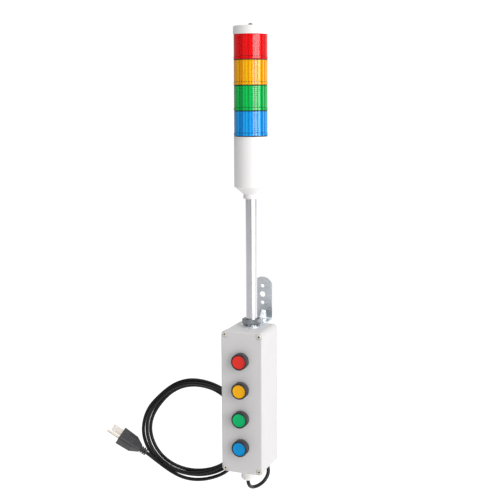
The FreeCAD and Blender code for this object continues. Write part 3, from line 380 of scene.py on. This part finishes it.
def lens_plastic(colour, deep, full, bright, foot):
    """Clear coloured polycarbonate over upright prisms; foot is the height of the lens's lower edge."""
    material, tree, shader, place = start(f"polycarbonate_clear_{colour}", 0.1)
    at = add(tree, "ShaderNodeSeparateXYZ", None, {0: place})
    depth = add(tree, "ShaderNodeMath", {"operation": "SUBTRACT"}, {0: at.outputs["Y"], 1: POLE_Y})
    angle = add(tree, "ShaderNodeMath", {"operation": "ARCTAN2"}, {0: at.outputs["X"], 1: depth.outputs[0]})
    ridge = add(tree, "ShaderNodeMath", {"operation": "MULTIPLY"}, {0: angle.outputs[0], 1: PRISMS})
    wave = add(tree, "ShaderNodeMath", {"operation": "SINE"}, {0: ridge.outputs[0]})
    width = add(tree, "ShaderNodeTexNoise", {"noise_dimensions": "1D"},
                {"W": angle.outputs[0], "Scale": 7.0, "Detail": 1.0})
    sway = add(tree, "ShaderNodeMath", {"operation": "MULTIPLY_ADD"},
               {0: wave.outputs[0], 1: 0.11, 2: width.outputs["Fac"]})
    bands = add(tree, "ShaderNodeValToRGB", None, {0: sway.outputs[0]})
    bands.color_ramp.elements.new(0.45)
    tones = ((0.26, deep), (0.44, full), (0.68, bright))
    for element, (position, tone) in zip(bands.color_ramp.elements, tones):
        element.position = position
        element.color = linear(tone)
    height = add(tree, "ShaderNodeMath", {"operation": "SUBTRACT"}, {0: at.outputs["Z"], 1: foot + 4.6 * MM})
    level = add(tree, "ShaderNodeMath", {"operation": "ABSOLUTE"}, {0: height.outputs[0]})
    row = add(tree, "ShaderNodeMath", {"operation": "LESS_THAN"}, {0: level.outputs[0], 1: 0.7 * MM})
    spacing = add(tree, "ShaderNodeMath", {"operation": "MULTIPLY"}, {0: angle.outputs[0], 1: LUGS})
    beat = add(tree, "ShaderNodeMath", {"operation": "SINE"}, {0: spacing.outputs[0]})
    lug = add(tree, "ShaderNodeMath", {"operation": "GREATER_THAN"}, {0: beat.outputs[0], 1: -0.2})
    mark = add(tree, "ShaderNodeMath", {"operation": "MULTIPLY"}, {0: row.outputs[0], 1: lug.outputs[0]})
    soft = add(tree, "ShaderNodeMath", {"operation": "MULTIPLY"}, {0: mark.outputs[0], 1: 0.8})
    final = add(tree, "ShaderNodeMix", {"data_type": "RGBA"},
                {0: soft.outputs[0], 6: bands.outputs["Color"], 7: linear("0c0c0c")})
    tree.links.new(final.outputs[2], shader.inputs["Base Color"])
    shader.inputs["IOR"].default_value = 1.58
    shader.inputs["Specular IOR Level"].default_value = 0.22
    return material


lens_colour = {
    colour: lens_plastic(colour, *tones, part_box(f"lens_{colour}")[0].z)
    for colour, tones in LENSES.items()
}
print("lens plastics:", sorted(lens_colour))

# %% [markdown]
# The lamp boards and the driver board are glass laminate under white solder mask, with faint copper
# tracks in it. The cord is smooth black PVC: it wears a tight gloss, broken by slow waves that the
# extruder leaves.

# %% Laminate and cord jacket
board, tree, shader, place = start("fr4_white_solder_mask", 0.35)
tracks = add(tree, "ShaderNodeTexBrick", {"offset": 0.5},
             {"Vector": place, "Color1": linear("e9ece8"), "Color2": linear("e2e7e1"),
              "Mortar": linear("cfd8cd"), "Scale": 1 / (8 * MM), "Mortar Size": 0.04})
tree.links.new(tracks.outputs["Color"], shader.inputs["Base Color"])

jacket, tree, shader, place = start("pvc_jacket_black_extruded", 0.26)
uneven(tree, shader, place, "070709", "0f0f12", 14)
waves = add(tree, "ShaderNodeTexNoise", None, {"Vector": place, "Scale": 1 / (7 * MM), "Detail": 1.0})
rough_up(tree, shader, waves.outputs["Fac"], 0.25)
shader.inputs["Specular IOR Level"].default_value = 0.35
print("laminate and jacket ready")

# %% [markdown]
# ## Finishes for the CAD pieces
#
# Many pieces keep the exact shape that the CAD model gives them. They only need their finish, so this
# cell lists each material with the nodes that wear it.

# %% Finish the CAD pieces
COLOURS = ("red", "yellow", "green", "blue")
FINISHES = [
    (box_abs, ["enclosure_base", "enclosure_lid"]),
    (tower_abs, ["tower_body", "tower_cap", "tower_deck"]),
    (gland_nylon, ["gland_body", "gland_dome", "gland_locknut"]),
    (bezel_nylon, ["ring_nuts"]),
    (contact_nylon, [f"contact_block_{colour}" for colour in COLOURS]),
    (seal_rubber, ["tier_seals", "lid_gasket", "bezel_gaskets", "gland_seal"]),
    (plug_vinyl, ["plug_body"]),
    (pole_aluminium, ["pole"]),
    (zinc, ["wall_bracket", "tooth_washer"]),
    (nickel, ["pole_nut", "pole_locknut"]),
    (blade_nickel, ["plug_blades", "earth_pin"]),
    (screw_nylon, ["lid_screws"]),
    (screw_zinc, ["tie_rod"]),
    (spring_wire, [f"return_spring_{colour}" for colour in COLOURS]),
    (board, ["driver_board"] + [f"lamp_board_{colour}" for colour in LENSES]),
    (jacket, ["cord_lead", "cord_coil", "cord_tail"]),
]

for material, names in FINISHES:
    for name in names:
        NODES[name].data.materials.clear()
        NODES[name].data.materials.append(material)
dressed = {name for material, names in FINISHES for name in names}
print("dressed nodes:", len(dressed), "still to model:", sorted(set(NODES) - dressed))

# %% [markdown]
# ## Turned pieces
#
# Lenses, bezels and button caps are all round. On a lathe a profile is carried round an axis. Here a
# circle is extruded ring by ring: each step moves the ring along the axis and scales it to its new
# radius. An open circle gives a tube, whose last ring is joined to the first. A filled circle gives a
# solid, closed at both ends.


# %% Ring by ring
def turned(name, profile, segments, solid=False):
    """A round piece about the Z axis from a profile of (radius, height) pairs in mm."""
    bpy.ops.object.select_all(action="DESELECT")
    radius, height = profile[0]
    bpy.ops.mesh.primitive_circle_add(vertices=segments, radius=radius * MM,
                                      fill_type="NGON" if solid else "NOTHING")
    piece = bpy.context.object
    piece.name = name
    piece.data.name = name
    bpy.ops.object.mode_set(mode="EDIT")
    bpy.ops.mesh.select_all(action="SELECT")
    bpy.ops.transform.translate(value=(0, 0, height * MM))
    for next_radius, next_height in profile[1:] + ([] if solid else profile[:1]):
        rise, widen = (next_height - height) * MM, next_radius / radius
        bpy.ops.mesh.extrude_region_move(TRANSFORM_OT_translate={"value": (0, 0, rise)})
        bpy.ops.transform.resize(value=(widen, widen, 1.0), center_override=(0, 0, next_height * MM))
        radius, height = next_radius, next_height
    bpy.ops.mesh.select_all(action="SELECT")
    bpy.ops.mesh.remove_doubles(threshold=0.001 * MM)
    bpy.ops.mesh.normals_make_consistent(inside=False)
    bpy.ops.object.mode_set(mode="OBJECT")
    bpy.ops.object.shade_smooth_by_angle(angle=math.radians(32))
    return piece


def placed_copy(model, name, move, material, body, node, upright=True):
    """A copy with its own mesh, at its place and dressed, in place of its CAD node."""
    bpy.ops.object.select_all(action="DESELECT")
    piece = model.copy()
    piece.data = model.data.copy()
    piece.name = name
    piece.data.name = name
    bpy.context.scene.collection.objects.link(piece)
    bpy.context.view_layer.objects.active = piece
    piece.select_set(True)
    piece.rotation_euler = (0, 0, 0) if upright else (math.radians(90), 0, 0)
    piece.location = move
    bpy.ops.object.transform_apply(location=True, rotation=True, scale=False)
    for part in material:
        piece.data.materials.append(part)
    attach(piece, body)
    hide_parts(node)
    return piece


print("turning helpers ready")

# %% [markdown]
# ### Lenses
#
# The outside of a lens is moulded in low rings, 3.1 mm apart and 0.3 mm high. On the real lens they
# break the reflection of a window into a ladder of short bars; in a small render they only show as a
# faint texture. The foot is a plain band, half a millimetre wider, that sits over the seal. The walls
# are 2.5 mm thick, and the floor has an eye for the rod.

# %% Model one lens
RIB_PITCH, RIB_HEIGHT = 3.1, 0.3
ribs = []
for step in range(11 * 6):
    ribs.append((27.35 + RIB_HEIGHT * (1 - math.cos(math.tau * step / 6)) / 2, 4.6 + RIB_PITCH * step / 6))
lens_profile = [(7, 0), (27.7, 0), (28, 0.4), (28, 3.5), (27.75, 4.0), (27.4, 4.2)] + ribs \
    + [(27.35, 38.7), (27.1, 39.4), (25, 39.4), (25, 2), (7, 2)]
lens_model = turned("lens_model", lens_profile, 96)
print("one lens:", len(lens_model.data.polygons), "faces")

# %% Place the four lenses
under_sheen = bpy.data.collections.new("lenses_under_sheen")
for colour in LENSES:
    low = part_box(f"lens_{colour}")[0]
    piece = placed_copy(lens_model, f"ribbed_lens_{colour}", (0, POLE_Y, low.z), [lens_colour[colour]],
                        "stand", f"lens_{colour}")
    under_sheen.objects.link(piece)
sheen.light_linking.receiver_collection = under_sheen
bpy.data.objects.remove(lens_model)
print("lenses placed:", len(LENSES))

# %% [markdown]
# ### Bezels
#
# Each button sits in a charcoal bezel with a knurled side and a polished front edge. The ring is turned
# with 120 segments, then every other face of its side is raised by a quarter of a millimetre. That
# gives 60 straight ridges, close to what a mould maker would cut. The threaded barrel behind it runs
# through the lid.

# %% Model one bezel
SIDE = 13.55
bezel_model = turned("bezel_model", [
    (8.9, -20), (11, -20), (11, 1), (SIDE - 0.3, 1), (SIDE, 1.4), (SIDE, 10.9), (SIDE + 0.2, 11.2),
    (SIDE + 0.2, 12.6), (SIDE - 0.1, 13.4), (SIDE - 0.7, 13.9), (SIDE - 1.3, 14), (11.8, 13.9),
    (11.6, 13.6), (11.6, 5), (5.9, 5), (5.9, 2), (8.9, 2),
], 120)
bpy.ops.object.mode_set(mode="EDIT")
bpy.ops.mesh.select_mode(type="FACE")
bpy.ops.mesh.select_all(action="DESELECT")
bpy.ops.object.mode_set(mode="OBJECT")
for face in bezel_model.data.polygons:
    centre = face.center / MM
    around = math.degrees(math.atan2(centre.y, centre.x)) % 360
    on_side = 1.4 < centre.z < 10.9 and centre.xy.length > 12
    face.select = on_side and int(around / 3) % 2 == 0
bpy.ops.object.mode_set(mode="EDIT")
bpy.ops.mesh.extrude_region_shrink_fatten(TRANSFORM_OT_shrink_fatten={"value": 0.25 * MM})
bpy.ops.object.mode_set(mode="OBJECT")
print("one bezel:", len(bezel_model.data.polygons), "faces")

# %% Place the four bezels
LID_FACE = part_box("enclosure_lid")[0].y
button_height = {colour: sum(corner.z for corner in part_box(f"button_{colour}")) / 2 for colour in COLOURS}
for colour in COLOURS:
    bezel = placed_copy(bezel_model, f"knurled_bezel_{colour}", (0, LID_FACE, button_height[colour]),
                        [bezel_nylon, bezel_edge], "stand", f"bezel_{colour}", upright=False)
    for face in bezel.data.polygons:
        if LID_FACE - face.center.y > 11.0 * MM:
            face.material_index = 1
bpy.data.objects.remove(bezel_model)
print("lid face at", round(LID_FACE, 4), "buttons at", [round(z, 3) for z in button_height.values()])

# %% [markdown]
# ### Button caps
#
# A cap is one moulding: the face is slightly dished inside a raised rim, the skirt runs in the bezel,
# and a stem carries the foot that stops it and the pusher that works the switch. It rides on its own
# body, so it moves when the button is pressed.

# %% Model and place the caps
cap_model = turned("cap_model", [
    (3.5, -20.4), (3.5, -1), (8.5, -1), (8.5, 1.6), (5.5, 1.6), (5.5, 11.2), (9.6, 11.2), (9.6, 9),
    (11.2, 9), (11.2, 13.05), (11.05, 13.4), (10.7, 13.58), (10.3, 13.6), (9.9, 13.5), (9.5, 13.25),
    (9.0, 13.1), (7.5, 13.0), (5.0, 12.9), (2.0, 12.82), (0.4, 12.8),
], 64, solid=True)
for colour in COLOURS:
    placed_copy(cap_model, f"dished_cap_{colour}", (0, LID_FACE, button_height[colour]),
                [cap_plastic[colour]], f"push_{colour}", f"button_{colour}",
                upright=False)
bpy.data.objects.remove(cap_model)
print("caps placed:", len(COLOURS))

# %% [markdown]
# ## The mains lead
#
# The cord is one length of 6.4 mm flexible cable, 2.11 m as drawn. The box hides part of every turn, so
# three turns, and with them the length, are an estimate. It leaves the gland downwards, turns up
# behind the box, and is wound into three loose turns before its tail runs out to the plug. One smooth
# spline carries it all. Its two ends follow the same points as the solid model. The coil is a tilted
# oval: its radius and depth change slowly, so each turn lies beside or over the one before, the first
# turn swings wide on the left, and the last one crosses to the front on its way to the plug.

# %% Cord route
CORD = 6.4 * MM
LEAD = [
    (-1.5, -73.7, -299.0), (-1.5, -73.7, -320.5), (-1.9, -57.5, -334.0), (5.3, -41.9, -336.5),
    (12.1, -24.4, -332.1), (16.7, -15.3, -318.1), (8.2, -9.8, -297.0), (-10.0, -9.5, -289.5),
    (-31.0, -7.8, -293.6), (-49.0, -6.4, -307.5),
]
TAIL = [
    (-82.0, -13.0, -341.0), (-107.0, -12.9, -351.2), (-132.5, -12.8, -355.8), (-157.5, -12.9, -353.8),
    (-181.0, -13.4, -344.0), (-203.5, -14.8, -330.0), (-225.0, -19.0, -313.5),
]
COIL_X, COIL_Z = -127.5, -257.5
COIL_STRETCH, COIL_LEAN = 12.5, math.radians(18.0)
# Angle round the coil in degrees (0 is its lowest point, 90 its left side), radius and depth in mm.
TURNS = [
    (-24, 87.2, -6.5), (0, 88.0, -6.4), (20, 89.8, -6.4), (45, 92.6, -6.4), (75, 100.8, -6.4),
    (92, 100.9, -6.4), (115, 95.0, -6.4), (148, 86.2, -6.4), (187, 90.2, -6.4), (210, 88.2, -6.4),
    (240, 87.4, -6.4), (300, 84.2, -6.4), (336, 79.6, -6.4), (360, 80.1, -6.4), (430, 84.8, -6.4),
    (455, 84.0, -6.4), (503, 76.6, -6.4), (543, 80.4, -6.4), (570, 79.6, -6.6), (610, 80.0, -12.7),
    (696, 80.2, -12.8), (720, 82.6, -12.8), (765, 87.6, -12.6), (800, 89.6, -12.2), (822, 88.0, -11.8),
    (866, 81.5, -11.8), (905, 85.2, -11.6), (930, 84.6, -12.0), (965, 88.2, -13.2), (1040, 90.6, -13.2),
    (1062, 93.4, -13.0),
]
STEP = 15


def on_turn(angle):
    """A point of the coil, in mm, from the rows of TURNS on either side of the angle."""
    for (a, r0, y0), (b, r1, y1) in zip(TURNS, TURNS[1:]):
        if a <= angle <= b:
            share = (1 - math.cos(math.pi * (angle - a) / (b - a))) / 2
            radius = (r0 + (r1 - r0) * share) / math.cos(math.radians(STEP / 2))
            turn = math.radians(angle)
            across, up = -(radius + COIL_STRETCH) * math.sin(turn), -radius * math.cos(turn)
            return (COIL_X + across * math.cos(COIL_LEAN) - up * math.sin(COIL_LEAN),
                    y0 + (y1 - y0) * share,
                    COIL_Z + across * math.sin(COIL_LEAN) + up * math.cos(COIL_LEAN))


def eased(points):
    """Cuts each corner of a route into two points on one arc, so that the bend is even."""
    points = [Vector(point) for point in points]
    route = [points[0]]
    for before, corner, after in zip(points, points[1:], points[2:]):
        back, ahead = (before - corner), (after - corner)
        reach = min(back.length, ahead.length) / 2
        turn = math.pi - back.angle(ahead)
        cut = reach / math.tan(turn / 2) * math.tan(turn / 4)
        route += [corner + back.normalized() * (reach - cut), corner + ahead.normalized() * (reach - cut)]
    return route + [points[-1]]


coil = [Vector(on_turn(angle)) for angle in range(TURNS[0][0] + 4, TURNS[-1][0], STEP)]
lead, tail = eased(LEAD), eased(TAIL)
lead.insert(1, lead[0] + (lead[1] - lead[0]) * 0.37)
tail.insert(-1, tail[-1] + (tail[-2] - tail[-1]) * 0.37)
route = [point * MM for point in lead + coil + tail]
print("control points:", len(route))

# %% Cord curve
curve = bpy.data.curves.new("mains_lead", "CURVE")
curve.dimensions = "3D"
curve.bevel_depth = CORD / 2
curve.bevel_resolution = 5
curve.resolution_u = 6
curve.use_fill_caps = True
spline = curve.splines.new("NURBS")
spline.points.add(len(route) - 1)
for point, place in zip(spline.points, route):
    point.co = (*place, 1.0)
spline.order_u = 4
spline.use_endpoint_u = True
curve.materials.append(jacket)
mains_lead = bpy.data.objects.new("mains_lead", curve)
bpy.context.scene.collection.objects.link(mains_lead)
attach(mains_lead, "stand")
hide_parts("cord_lead", "cord_coil", "cord_tail")
print("cord spline points:", len(spline.points), "length", round(spline.calc_length(), 3))
